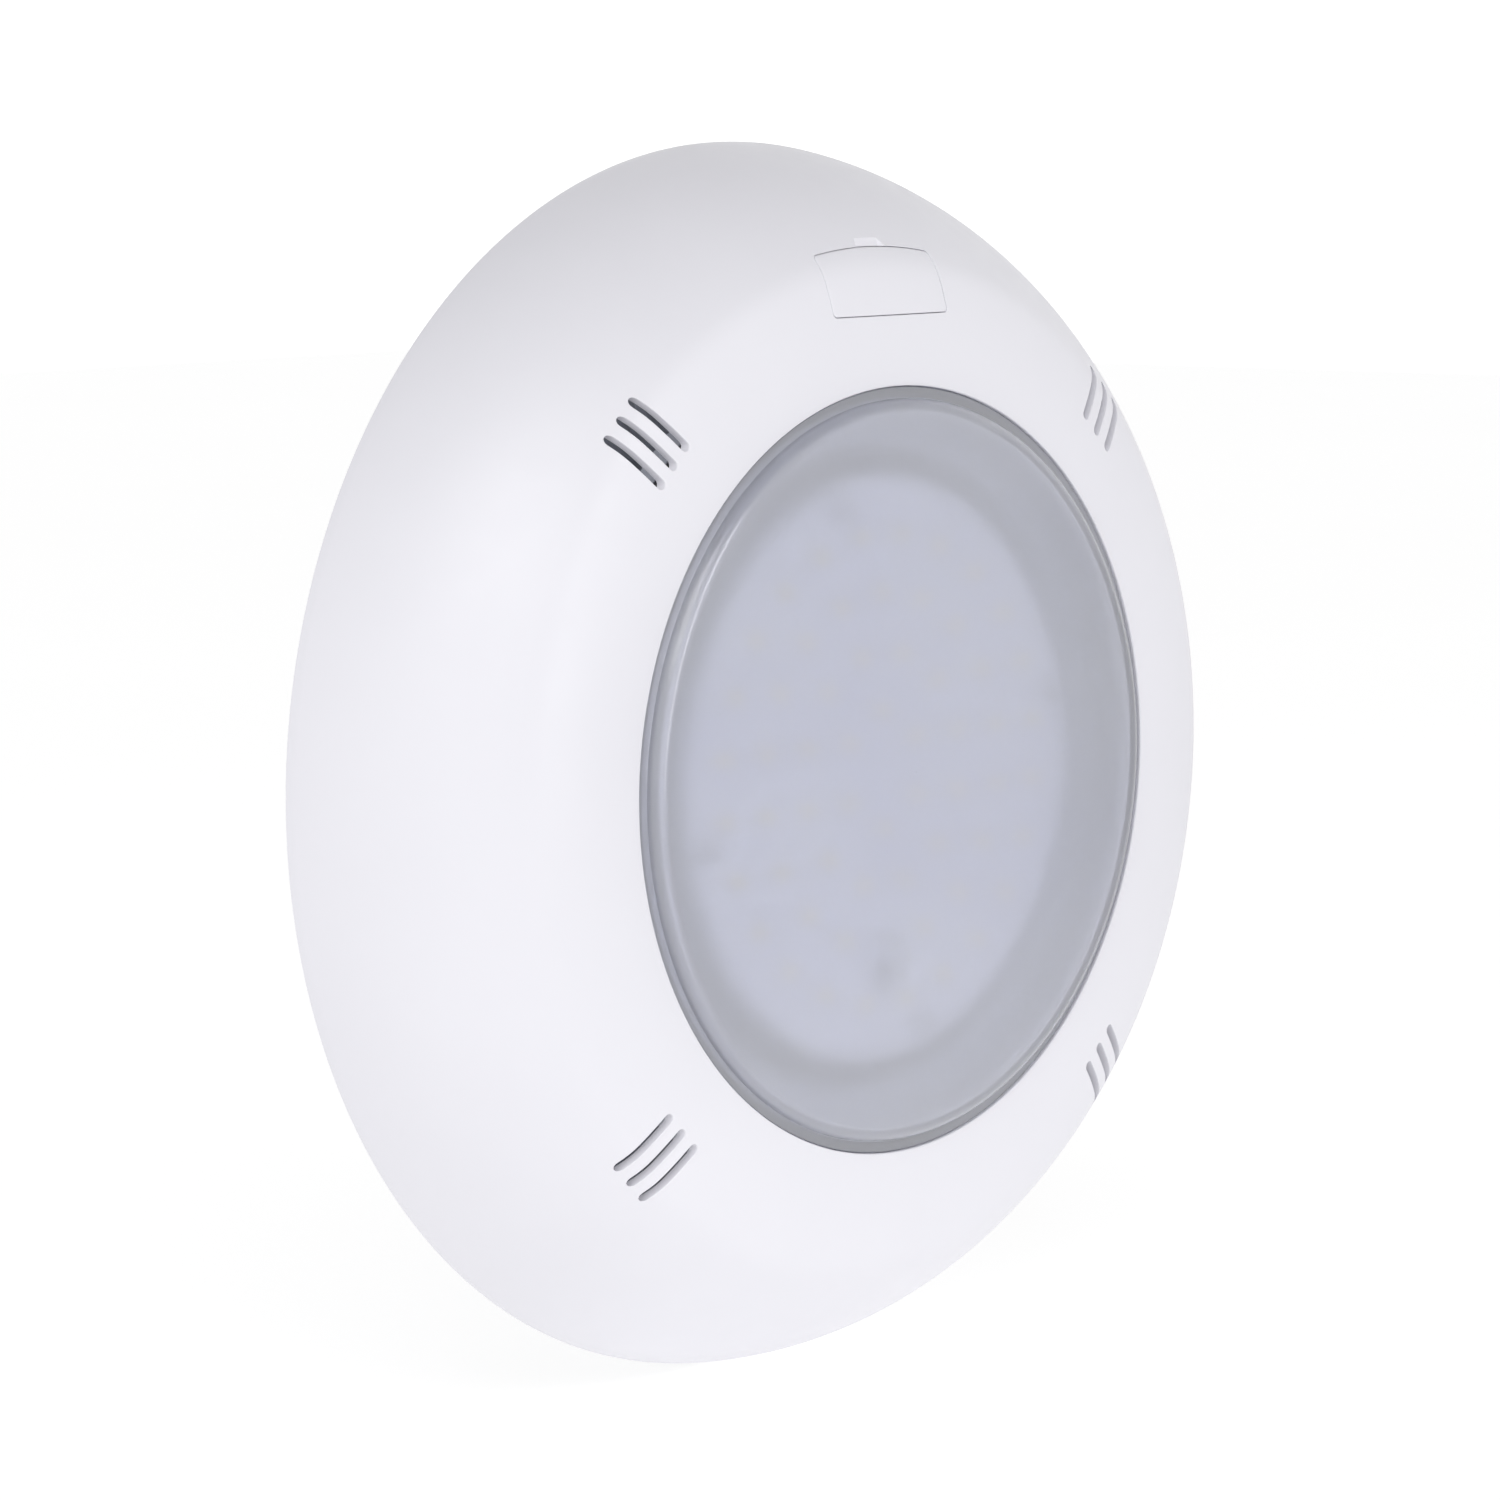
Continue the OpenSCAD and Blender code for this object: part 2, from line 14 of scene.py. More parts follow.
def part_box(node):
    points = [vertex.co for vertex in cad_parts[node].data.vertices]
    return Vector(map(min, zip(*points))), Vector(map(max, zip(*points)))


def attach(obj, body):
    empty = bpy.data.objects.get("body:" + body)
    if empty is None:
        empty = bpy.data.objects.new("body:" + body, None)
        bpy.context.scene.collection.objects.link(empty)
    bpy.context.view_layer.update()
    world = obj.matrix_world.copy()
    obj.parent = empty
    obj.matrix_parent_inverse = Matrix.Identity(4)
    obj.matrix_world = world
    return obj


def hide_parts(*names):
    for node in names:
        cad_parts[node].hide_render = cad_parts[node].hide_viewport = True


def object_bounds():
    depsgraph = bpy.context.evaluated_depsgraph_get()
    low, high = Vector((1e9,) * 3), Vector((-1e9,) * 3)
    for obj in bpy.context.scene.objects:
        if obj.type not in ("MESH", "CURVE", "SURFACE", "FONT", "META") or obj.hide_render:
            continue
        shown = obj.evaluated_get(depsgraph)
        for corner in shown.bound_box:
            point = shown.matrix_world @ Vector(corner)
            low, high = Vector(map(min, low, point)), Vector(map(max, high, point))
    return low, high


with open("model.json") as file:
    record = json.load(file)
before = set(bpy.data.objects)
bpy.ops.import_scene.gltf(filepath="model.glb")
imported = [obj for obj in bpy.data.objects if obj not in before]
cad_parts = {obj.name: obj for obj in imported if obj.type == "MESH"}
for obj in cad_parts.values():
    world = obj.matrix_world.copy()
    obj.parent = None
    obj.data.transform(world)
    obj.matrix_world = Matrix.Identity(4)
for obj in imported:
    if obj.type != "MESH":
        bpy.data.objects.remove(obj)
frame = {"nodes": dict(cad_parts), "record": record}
cad_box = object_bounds()
nodes = frame["nodes"]

MM = 0.001


# ---------------------------------------------------------------- measures from the frame

def low(node):
    """Lowest corner of a CAD node in millimetres, as (x, up, out)."""
    a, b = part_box(node)
    return Vector((a.x, a.z, -b.y)) / MM


def high(node):
    """Highest corner of a CAD node in millimetres, as (x, up, out)."""
    a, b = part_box(node)
    return Vector((b.x, b.z, -a.y)) / MM


RIM_OUT = low("bezel")[2]
BEZEL_R = 148.0
BEZEL_WALL = 2.4
OPENING_R = 90.9
EDGE_ROUND = 0.4
RIM_ROUND = 0.5
RIM_RISE = 1.5
LIP_WALL = 2.4
LIP_TAPER = 0.2
LIP_TAPER_LENGTH = 2
LIP_ROOT = 0.6
# Arcs of the bezel's section from rim to opening: slope at start, slope at end, radius
BEZEL_ARCS = ((90, 80, 12.0), (80, 40, 74.7), (40, 20, 17.6), (20, 0, 75.1))

SLOT_ENDS = (108.15, 122.4)
SLOT_W = 2.4
SLOT_PITCH = 5.76
SLOT_ANGLES = (45, 135, 225, 315)
SLOT_CUT_BACK = 30
CUT_EDGE_ROUND = 0.25

COVER_HALF_W = 20.5
COVER_LOW = 107.4
COVER_TOP_R = 123.5
COVER_GAP = 0.15
COVER_T = 2.4
COVER_SEAT = 0.2
COVER_EDGE = 0.3
COVER_LEG_X = (17.1, 18.7)
COVER_LEG_HALF_H = 3.5
COVER_LEG_OUT = (38, 56)
LEDGE = 1.5
POCKET_WALL = 2.0
POCKET_FLOOR = low("retaining_washer")[2]
POCKET_FLOOR_T = 2.5
SCREW_UP = (low("fixing_screw")[1] + high("fixing_screw")[1]) / 2
SCREW_HOLE_R = 2.85
SCREW_BOSS_R = 5.5
SCREW_BOSS_GAP = 0.3

# Bosses that take the screws through the housing's ears
EAR_R = 108.6
EAR_ANGLES = (20, 160, 200, 340)
EAR_BOSS_R = 4.5
EAR_BOSS_TAPER = -0.2
EAR_HOLE_R = 2.05
EAR_HOLE_FRONT = 51.5

RIB_ANGLES = (0, 65, 115, 180, 245, 295)
RIB_HALF_T = 1.0
# Inner edge of a rib as (radius, out)
RIB_EDGE = ((OPENING_R + 3.0, 51.5), (129.0, 51.0), (137.0, 14.0), (147.0, 12.0))

# Levels that lie clear of the bezel's surface, for solids that are trimmed and for cutters
FITTING_FRONT = 70
CUTTER_FRONT = 75

RING_FRONT = high("clamp_ring")[2]
FLANGE_FRONT = low("lens")[2]
LENS_R = 90.75
LENS_BODY_R = 88.0
LENS_WALL = 3.0
SHOULDER_R = 3.6
LENS_STEP = 57.3
LENS_FLANGE_R = high("lens")[0]
LENS_FLANGE_T = 3.0
LENS_EDGE = 0.4
PIVOT_UP = (low("pivot_pin")[1] + high("pivot_pin")[1]) / 2
PIVOT_OUT = (low("pivot_pin")[2] + high("pivot_pin")[2]) / 2
PIVOT_HOLE_R = 2.52
PIVOT_HOLE_HALF_LENGTH = 42
PIVOT_EAR_X = (36, 40)
PIVOT_EAR_BELOW = 6
PIVOT_EAR_ABOVE = 18
PIVOT_EAR_BACK = 4.2


# ---------------------------------------------------------------- mesh helpers

def place(p):
    """A local (x, up, out) point in millimetres as a point of the frame in metres."""
    return Vector((p[0], -p[2], p[1])) * MM


def object_from(name, bm):
    """Turns a bmesh into an object in the scene, with its faces turned outward."""
    bmesh.ops.recalc_face_normals(bm, faces=bm.faces)
    mesh = bpy.data.meshes.new(name)
    bm.to_mesh(mesh)
    bm.free()
    obj = bpy.data.objects.new(name, mesh)
    bpy.context.scene.collection.objects.link(obj)
    return obj


def scratch(bm):
    """A temporary object that only serves in a boolean."""
    return object_from("scratch", bm)


def piece_from(name, bm, finish, sharp=30.0):
    """Turns a bmesh into a smooth piece with one material."""
    obj = object_from(name, bm)
    dress(obj, finish, sharp)
    return obj


def dress(obj, finish, sharp):
    """Gives a mesh one material and smooth shading with creases over a given angle."""
    obj.data.materials.clear()
    obj.data.materials.append(finish)
    obj.data.shade_smooth()
    obj.data.set_sharp_from_angle(angle=math.radians(sharp))


def lathe(bm, section, steps=256):
    """Revolves a closed section of (radius, out) points about the light's axis."""
    rings = []
    for r, out in section:
        if r < 1e-6:
            rings.append([bm.verts.new(place((0, 0, out)))] * steps)
            continue
        ring = []
        for k in range(steps):
            a = 2 * math.pi * k / steps
            ring.append(bm.verts.new(place((r * math.cos(a), r * math.sin(a), out))))
        rings.append(ring)
    for i, ring in enumerate(rings):
        other = rings[(i + 1) % len(rings)]
        for k in range(steps):
            n = (k + 1) % steps
            corners = [ring[k], ring[n], other[n], other[k]]
            distinct = list(dict.fromkeys(corners))
            if len(distinct) > 2:
                bm.faces.new(distinct)


def loft(bm, rings):
    """Closes a stack of equally long rings of local points into a solid."""
    made = [[bm.verts.new(place(p)) for p in ring] for ring in rings]
    count = len(made[0])
    for a, b in zip(made, made[1:]):
        for k in range(count):
            n = (k + 1) % count
            bm.faces.new((a[k], a[n], b[n], b[k]))
    bm.faces.new(made[0])
    bm.faces.new(made[-1])


def combine(obj, operation, *cutters):
    """Applies boolean operations with other objects, which are then removed."""
    for cutter in cutters:
        change = obj.modifiers.new("cut", "BOOLEAN")
        change.operation = operation
        change.solver = "MANIFOLD"
        change.object = cutter
    apply_modifiers(obj)
    for cutter in cutters:
        mesh = cutter.data
        bpy.data.objects.remove(cutter)
        bpy.data.meshes.remove(mesh)


def apply_modifiers(obj):
    """Replaces an object's mesh by the one its modifiers give."""
    graph = bpy.context.evaluated_depsgraph_get()
    graph.update()
    mesh = bpy.data.meshes.new_from_object(obj.evaluated_get(graph))
    old = obj.data
    obj.modifiers.clear()
    obj.data = mesh
    bpy.data.meshes.remove(old)


# ---------------------------------------------------------------- bezel surface

def outward(slope):
    """Unit direction out of the section, as (radius, out); slope 0 faces straight out."""
    a = math.radians(slope)
    return Vector((math.sin(a), math.cos(a)))


def arc_centres():
    """Centre of each arc of the bezel's section, as (radius, out)."""
    centres = []
    point = Vector((BEZEL_R, RIM_OUT + RIM_RISE))
    for start, end, radius in BEZEL_ARCS:
        centre = point - radius * outward(start)
        centres.append(centre)
        point = centre + radius * outward(end)
    return centres


CENTRES = arc_centres()
CREST = CENTRES[-1].y + BEZEL_ARCS[-1][2]
CREST_R = CENTRES[-1].x


def surface_out(r, inset=0.0):
    """How far the bezel's surface, moved inward by inset, stands out at a radius."""
    if r <= CREST_R:
        return CREST - inset
    for (start, end, radius), centre in zip(reversed(BEZEL_ARCS), reversed(CENTRES)):
        reach = centre.x + (radius - inset) * math.sin(math.radians(start))
        if r <= reach + 1e-9 or start == 90:
            share = min(1.0, (r - centre.x) / (radius - inset))
            return centre.y + (radius - inset) * math.sqrt(max(0.0, 1 - share * share))
    return RIM_OUT


def section_arcs(inset, step):
    """Points of the surface moved inward by inset, from rim to crest."""
    points = []
    for (start, end, radius), centre in zip(BEZEL_ARCS, CENTRES):
        count = max(2, round((start - end) / step))
        for k in range(count):
            slope = start + (end - start) * k / count
            points.append(centre + (radius - inset) * outward(slope))
    points.append(CENTRES[-1] + (BEZEL_ARCS[-1][2] - inset) * outward(0))
    return [(p.x, p.y) for p in points]


def arc_points(centre, radius, start, end, count=5):
    """Points of a circular arc, its angles in degrees from the first axis."""
    points = []
    for k in range(count + 1):
        a = math.radians(start + (end - start) * k / count)
        points.append((centre[0] + radius * math.cos(a), centre[1] + radius * math.sin(a)))
    return points


def dome(inset, bottom=RIM_OUT):
    """Scratch solid under the bezel's surface moved inward."""
    bm = bmesh.new()
    section = [(0, bottom), (BEZEL_R - inset, bottom)] + section_arcs(inset, 4)
    section.append((0, CREST - inset))
    lathe(bm, section, 192)
    return scratch(bm)


# ---------------------------------------------------------------- outlines

def cover_outline(grow, per_edge=14, corner=1.2):
    """Outline of the screw cover, grown, with slightly rounded corners."""
    half = COVER_HALF_W + grow
    bottom = COVER_LOW - grow
    top_r = COVER_TOP_R + grow
    corner_r = max(0.2, corner + grow)
    # Where the centres of the corner rounds lie; turn is the upper ones' angle from +Z
    low_y = bottom + corner_r
    side_x = half - corner_r
    high_y = math.sqrt((top_r - corner_r) ** 2 - side_x ** 2)
    turn = math.degrees(math.atan2(side_x, high_y))

    def rounded(centre, start, end):
        return arc_points(centre, corner_r, start, end, 4)[:-1]

    points = []
    for k in range(per_edge):
        points.append((-side_x + 2 * side_x * k / per_edge, bottom))
    points += rounded((side_x, low_y), -90, 0)
    for k in range(per_edge):
        points.append((half, low_y + (high_y - low_y) * k / per_edge))
    points += rounded((side_x, high_y), 0, 90 - turn)
    for k in range(per_edge):
        a = math.radians(90 - turn + 2 * turn * k / per_edge)
        points.append((top_r * math.cos(a), top_r * math.sin(a)))
    points += rounded((-side_x, high_y), 90 + turn, 180)
    for k in range(per_edge):
        points.append((-half, high_y + (low_y - high_y) * k / per_edge))
    points += rounded((-side_x, low_y), 180, 270)
    return points


def slot_outline(grow, shift, angle, along=10, around=8):
    """Outline of one cooling slot, grown, shifted sideways and turned to its place."""
    radius = SLOT_W / 2 + grow
    points = []
    for k in range(along):
        r = SLOT_ENDS[0] + (SLOT_ENDS[1] - SLOT_ENDS[0]) * k / along
        points.append((r, -radius))
    points += arc_points((SLOT_ENDS[1], 0), radius, -90, 90, around)[:-1]
    for k in range(along):
        r = SLOT_ENDS[1] + (SLOT_ENDS[0] - SLOT_ENDS[1]) * k / along
        points.append((r, radius))
    points += arc_points((SLOT_ENDS[0], 0), radius, 90, 270, around)[:-1]
    c = math.cos(math.radians(angle))
    s = math.sin(math.radians(angle))
    return [(c * x - s * (y + shift), s * x + c * (y + shift)) for x, y in points]


def on_surface(outline, offset, inset=0.0):
    """Lays an outline on the bezel's surface, raised by offset."""
    return [(x, y, surface_out(math.hypot(x, y), inset) + offset) for x, y in outline]


def at_level(outline, out):
    """Lays an outline flat at one height."""
    return [(x, y, out) for x, y in outline]


def shrunk(points, share, inset, offset=0.0):
    """An outline drawn in towards its middle and laid on the surface again."""
    cx = sum(p[0] for p in points) / len(points)
    cy = sum(p[1] for p in points) / len(points)
    moved = [(cx + (p[0] - cx) * share, cy + (p[1] - cy) * share) for p in points]
    return on_surface(moved, offset, inset)


def edge_rings(outline, radius):
    """Rings that round the edge of a cut: wide above the surface, narrow below it."""
    wide = outline(radius + 0.6)
    rings = [at_level(wide, CUTTER_FRONT), on_surface(wide, 0.9)]
    for a in (60, 40, 20, 0):
        grow = radius * (1 - math.cos(math.radians(a)))
        drop = radius * (1 - math.sin(math.radians(a)))
        rings.append(on_surface(outline(grow), -drop + 0.02))
    return rings


# ---------------------------------------------------------------- materials

def new_material(name):
    """A new material with its node tree, Principled node and object coordinates."""
    m = bpy.data.materials.new(name)
    m.use_nodes = True
    tree = m.node_tree
    shader = tree.nodes["Principled BSDF"]
    where = tree.nodes.new("ShaderNodeTexCoord")
    return m, tree, shader, where.outputs["Object"]


def noise(tree, where, scale, detail):
    """Noise between 0 and 1 at a place."""
    node = tree.nodes.new("ShaderNodeTexNoise")
    node.inputs["Scale"].default_value = scale
    node.inputs["Detail"].default_value = detail
    tree.links.new(where, node.inputs["Vector"])
    return node.outputs["Fac"]


def spread(tree, value, low_value, high_value, from_low=0.3, from_high=0.7):
    """Maps a value from one range to another, held at both ends."""
    node = tree.nodes.new("ShaderNodeMapRange")
    node.inputs["From Min"].default_value = from_low
    node.inputs["From Max"].default_value = from_high
    node.inputs["To Min"].default_value = low_value
    node.inputs["To Max"].default_value = high_value
    tree.links.new(value, node.inputs["Value"])
    return node.outputs["Result"]


def tint(tree, value, first, second):
    """A colour between two others."""
    node = tree.nodes.new("ShaderNodeMix")
    node.data_type = "RGBA"
    node.inputs["A"].default_value = (*first, 1)
    node.inputs["B"].default_value = (*second, 1)
    tree.links.new(value, node.inputs["Factor"])
    return node.outputs["Result"]


def bump(tree, shader, height, strength, distance):
    """Fine relief on a shader."""
    node = tree.nodes.new("ShaderNodeBump")
    node.inputs["Strength"].default_value = strength
    node.inputs["Distance"].default_value = distance
    tree.links.new(height, node.inputs["Height"])
    tree.links.new(node.outputs["Normal"], shader.inputs["Normal"])


def white_plastic():
    """Satin moulded ABS with a fine erosion grain and slight sheen differences."""
    m, tree, shader, where = new_material("white_plastic")
    cloud = noise(tree, where, 14, 3)
    colour = tint(tree, spread(tree, cloud, 0, 1), (0.735, 0.729, 0.775), (0.755, 0.749, 0.795))
    tree.links.new(colour, shader.inputs["Base Color"])
    rough = spread(tree, noise(tree, where, 160, 3), 0.36, 0.44)
    tree.links.new(rough, shader.inputs["Roughness"])
    shader.inputs["IOR"].default_value = 1.5
    grain = noise(tree, where, 2600, 2)
    bump(tree, shader, grain, 0.12, 0.00004)
    return m


def lens_plastic():
    """Frosted, slightly milky polycarbonate."""
    m, tree, shader, where = new_material("lens_plastic")
    cloud = noise(tree, where, 18, 2)
    colour = tint(tree, spread(tree, cloud, 0, 1), (0.88, 0.895, 0.995), (0.90, 0.915, 1.0))
    tree.links.new(colour, shader.inputs["Base Color"])
    shader.inputs["Transmission Weight"].default_value = 0.74
    rough = spread(tree, noise(tree, where, 90, 3), 0.32, 0.35)
    tree.links.new(rough, shader.inputs["Roughness"])
    shader.inputs["IOR"].default_value = 1.45
    shader.inputs["Coat Weight"].default_value = 0.8
    shader.inputs["Coat Roughness"].default_value = 0.08
    return m


GRAIN = 1500


def plain_plastic(name, first, second, low_rough, high_rough):
    """Moulded plastic or coated board: two near shades, uneven gloss and a fine grain."""
    m, tree, shader, where = new_material(name)
    cloud = noise(tree, where, 30, 4)
    colour = tint(tree, spread(tree, cloud, 0, 1), first, second)
    tree.links.new(colour, shader.inputs["Base Color"])
    rough = spread(tree, noise(tree, where, 240, 3), low_rough, high_rough)
    tree.links.new(rough, shader.inputs["Roughness"])
    bump(tree, shader, noise(tree, where, GRAIN, 3), 0.2, 0.00006)
    return m


# Where the painted shade inside the housing ends, in metres: from the axis, and along Y
SHADE_EDGE_R = (0.0762, 0.0768)
SHADE_EDGE_Y = (-0.0145, -0.0135)


def housing_plastic_painted_shade():
    """Grey moulded plastic with painted shade: its inside, near the axis and in front, is
    near-black where the hollow lies in shade.
    """
    m, tree, shader, where = new_material("grey_plastic_painted_shade")
    split = tree.nodes.new("ShaderNodeSeparateXYZ")
    tree.links.new(where, split.inputs["Vector"])
    across = tree.nodes.new("ShaderNodeCombineXYZ")
    tree.links.new(split.outputs["X"], across.inputs["X"])
    tree.links.new(split.outputs["Z"], across.inputs["Z"])
    length = tree.nodes.new("ShaderNodeVectorMath")
    length.operation = "LENGTH"
    tree.links.new(across.outputs["Vector"], length.inputs[0])
    # Mask of the painted shade: 0 inside the housing's hollow near the axis and in front, 1
    # elsewhere
    outer = spread(tree, length.outputs["Value"], 0, 1, *SHADE_EDGE_R)
    behind = spread(tree, split.outputs["Y"], 0, 1, *SHADE_EDGE_Y)
    outside_shade = tree.nodes.new("ShaderNodeMath")
    outside_shade.operation = "MAXIMUM"
    tree.links.new(outer, outside_shade.inputs[0])
    tree.links.new(behind, outside_shade.inputs[1])
    cloud = noise(tree, where, 30, 4)
    grey = tint(tree, spread(tree, cloud, 0, 1), (0.36, 0.38, 0.43), (0.40, 0.42, 0.47))
    # Painted shade: the grey is mixed to near-black inside the hollow, where shade falls
    mix = tree.nodes.new("ShaderNodeMix")
    mix.data_type = "RGBA"
    mix.inputs["A"].default_value = (0.035, 0.036, 0.04, 1)
    tree.links.new(grey, mix.inputs["B"])
    tree.links.new(outside_shade.outputs["Value"], mix.inputs["Factor"])
    tree.links.new(mix.outputs["Result"], shader.inputs["Base Color"])
    rough = spread(tree, noise(tree, where, 240, 3), 0.42, 0.55)
    tree.links.new(rough, shader.inputs["Roughness"])
    bump(tree, shader, noise(tree, where, GRAIN, 3), 0.2, 0.00006)
    return m


def metal(name, first, second, low_rough, high_rough, stretch=(1, 1, 1)):
    """Metal with tool or rolling marks drawn out along one axis."""
    m, tree, shader, where = new_material(name)
    mapping = tree.nodes.new("ShaderNodeMapping")
    mapping.inputs["Scale"].default_value = stretch
    tree.links.new(where, mapping.inputs["Vector"])
    marks = noise(tree, mapping.outputs["Vector"], 900, 3)
    colour = tint(tree, spread(tree, marks, 0, 1), first, second)
    tree.links.new(colour, shader.inputs["Base Color"])
    tree.links.new(spread(tree, marks, low_rough, high_rough), shader.inputs["Roughness"])
    shader.inputs["Metallic"].default_value = 1.0
    bump(tree, shader, marks, 0.15, 0.00003)
    return m


WHITE = white_plastic()
LENS = lens_plastic()
# Grey housing plastic with painted shade inside its hollow
HOUSING_WITH_PAINTED_SHADE = housing_plastic_painted_shade()
GREY = plain_plastic("grey_plastic", (0.50, 0.52, 0.56), (0.55, 0.57, 0.61), 0.42, 0.55)
BLACK = plain_plastic("black_plastic", (0.035, 0.035, 0.04), (0.055, 0.055, 0.06), 0.4, 0.55)
RUBBER = plain_plastic("seal_rubber", (0.025, 0.025, 0.025), (0.04, 0.04, 0.04), 0.65, 0.85)
STEEL = metal("stainless", (0.60, 0.60, 0.61), (0.68, 0.68, 0.69), 0.22, 0.38, (1, 1, 6))
ALUMINIUM = metal("spreader_aluminium", (0.76, 0.77, 0.78), (0.82, 0.83, 0.84), 0.3, 0.45,
    (1, 1, 12))
PAD = plain_plastic("thermal_silicone", (0.40, 0.48, 0.60), (0.46, 0.53, 0.64), 0.6, 0.8)
WHITE_BOARD = plain_plastic("white_board", (0.91, 0.92, 0.98), (0.94, 0.95, 1.0), 0.25, 0.35)
PHOSPHOR = plain_plastic("led_phosphor", (0.88, 0.74, 0.30), (0.93, 0.82, 0.40), 0.2, 0.3)
BRASS = metal("spacer_brass", (0.70, 0.55, 0.26), (0.78, 0.64, 0.33), 0.2, 0.35)
GREEN_BOARD = plain_plastic("green_board", (0.03, 0.20, 0.10), (0.05, 0.27, 0.13), 0.25, 0.35)
FERRITE = plain_plastic("ferrite", (0.07, 0.07, 0.08), (0.11, 0.11, 0.12), 0.5, 0.65)
COPPER = metal("copper_wire", (0.66, 0.30, 0.12), (0.74, 0.38, 0.18), 0.2, 0.3)
SLEEVE = plain_plastic("capacitor_sleeve", (0.08, 0.09, 0.16), (0.11, 0.12, 0.20), 0.25, 0.35)
RESIN = plain_plastic("chip_resin", (0.025, 0.025, 0.03), (0.04, 0.04, 0.045), 0.5, 0.65)
TERMINAL = plain_plastic("terminal_plastic", (0.06, 0.26, 0.16), (0.09, 0.31, 0.20), 0.4, 0.5)
WIRE = plain_plastic("wire_sleeve", (0.82, 0.82, 0.80), (0.88, 0.88, 0.86), 0.4, 0.5)
NYLON = plain_plastic("nylon", (0.72, 0.71, 0.66), (0.78, 0.77, 0.72), 0.4, 0.5)

SLOT_MATERIALS = {
    "white_plastic": WHITE, "lens_plastic": LENS, "grey_plastic": GREY, "black_plastic": BLACK,
    "seal_rubber": RUBBER, "stainless": STEEL, "spreader_aluminium": ALUMINIUM,
    "thermal_silicone": PAD, "white_board": WHITE_BOARD, "led_phosphor": PHOSPHOR,
    "spacer_brass": BRASS, "green_board": GREEN_BOARD, "ferrite": FERRITE,
    "copper_wire": COPPER, "capacitor_sleeve": SLEEVE, "chip_resin": RESIN,
    "terminal_plastic": TERMINAL, "wire_sleeve": WIRE, "nylon": NYLON,
}


# ---------------------------------------------------------------- bezel

def circle(at, radius, steps=48):
    """Evenly spaced points of a circle round a place."""
    points = []
    for k in range(steps):
        a = 2 * math.pi * k / steps
        points.append((at[0] + radius * math.cos(a), at[1] + radius * math.sin(a)))
    return points


def cylinder(at, radius, back, front, taper=0.0):
    """Scratch cylinder standing out from the wall at an (x, up) place."""
    bm = bmesh.new()
    loft(bm, [at_level(circle(at, radius + taper), back), at_level(circle(at, radius), front)])
    return scratch(bm)


def cross_cylinder(start, length, radius):
    """Scratch cylinder along x."""
    bm = bmesh.new()
    rings = []
    for x in (start[0], start[0] + length):
        rings.append([(x, up, out) for up, out in circle(start[1:], radius)])
    loft(bm, rings)
    return scratch(bm)


def box_solid(low_corner, high_corner):
    """Scratch box between two local corners."""
    bm = bmesh.new()
    x0, y0, z0 = low_corner
    x1, y1, z1 = high_corner
    corners = [(x0, y0), (x1, y0), (x1, y1), (x0, y1)]
    loft(bm, [at_level(corners, z0), at_level(corners, z1)])
    return scratch(bm)


def slot_cutter(shift, angle):
    """Cutter of one cooling slot with a rounded edge."""
    bm = bmesh.new()
    rings = edge_rings(lambda grow: slot_outline(grow, shift, angle), CUT_EDGE_ROUND)
    rings.append(at_level(slot_outline(0, shift, angle), SLOT_CUT_BACK))
    loft(bm, rings)
    return scratch(bm)


def cover_seat_cutter():
    """Cutter of the shallow seat that the cover lies in, its floor following the surface."""
    bm = bmesh.new()
    rings = edge_rings(cover_outline, CUT_EDGE_ROUND)
    floor_inset = COVER_T + COVER_SEAT
    rings.append(on_surface(cover_outline(0), 0, floor_inset))
    for share in (0.85, 0.6, 0.3, 0.02):
        rings.append(shrunk(cover_outline(0), share, floor_inset))
    loft(bm, rings)
    return scratch(bm)


def pocket_cutter():
    """Cutter of the deep pocket under the cover, narrower than its seat."""
    bm = bmesh.new()
    outline = cover_outline(-LEDGE)
    loft(bm, [at_level(outline, CUTTER_FRONT), at_level(outline, POCKET_FLOOR)])
    return scratch(bm)


def notch_cutter(width=8.0, length=2.4, floor=45.5, slope=15.0, deep=3.0):
    """Ramp above the cover that a flat tool gets under, with slanted sides."""
    bm = bmesh.new()
    fall = math.sin(math.radians(slope))
    run = math.cos(math.radians(slope))
    half = width / 2
    rings = []
    for along in (-1.0, length):
        up = COVER_TOP_R + along * run
        out = RIM_OUT + floor - along * fall
        # The cut's top edge lies square above its floor, so it leans with the slope
        top = (up + deep * fall, out + deep * run)
        ring = [(-half, up, out), (half, up, out)]
        ring += [(half + deep, *top), (-half - deep, *top)]
        rings.append(ring)
    loft(bm, rings)
    return scratch(bm)


def stiffening_rib(angle):
    """Thin radial rib on the inside of the bezel, deeper near the rim."""
    bm = bmesh.new()
    c = math.cos(math.radians(angle))
    s = math.sin(math.radians(angle))
    rings = []
    for side in (-RIB_HALF_T, RIB_HALF_T):
        ring = []
        for r, out in RIB_EDGE:
            ring.append((c * r - s * side, s * r + c * side, out))
        for r, out in reversed(RIB_EDGE):
            ring.append((c * r - s * side, s * r + c * side, FITTING_FRONT))
        rings.append(ring)
    loft(bm, rings)
    return scratch(bm)


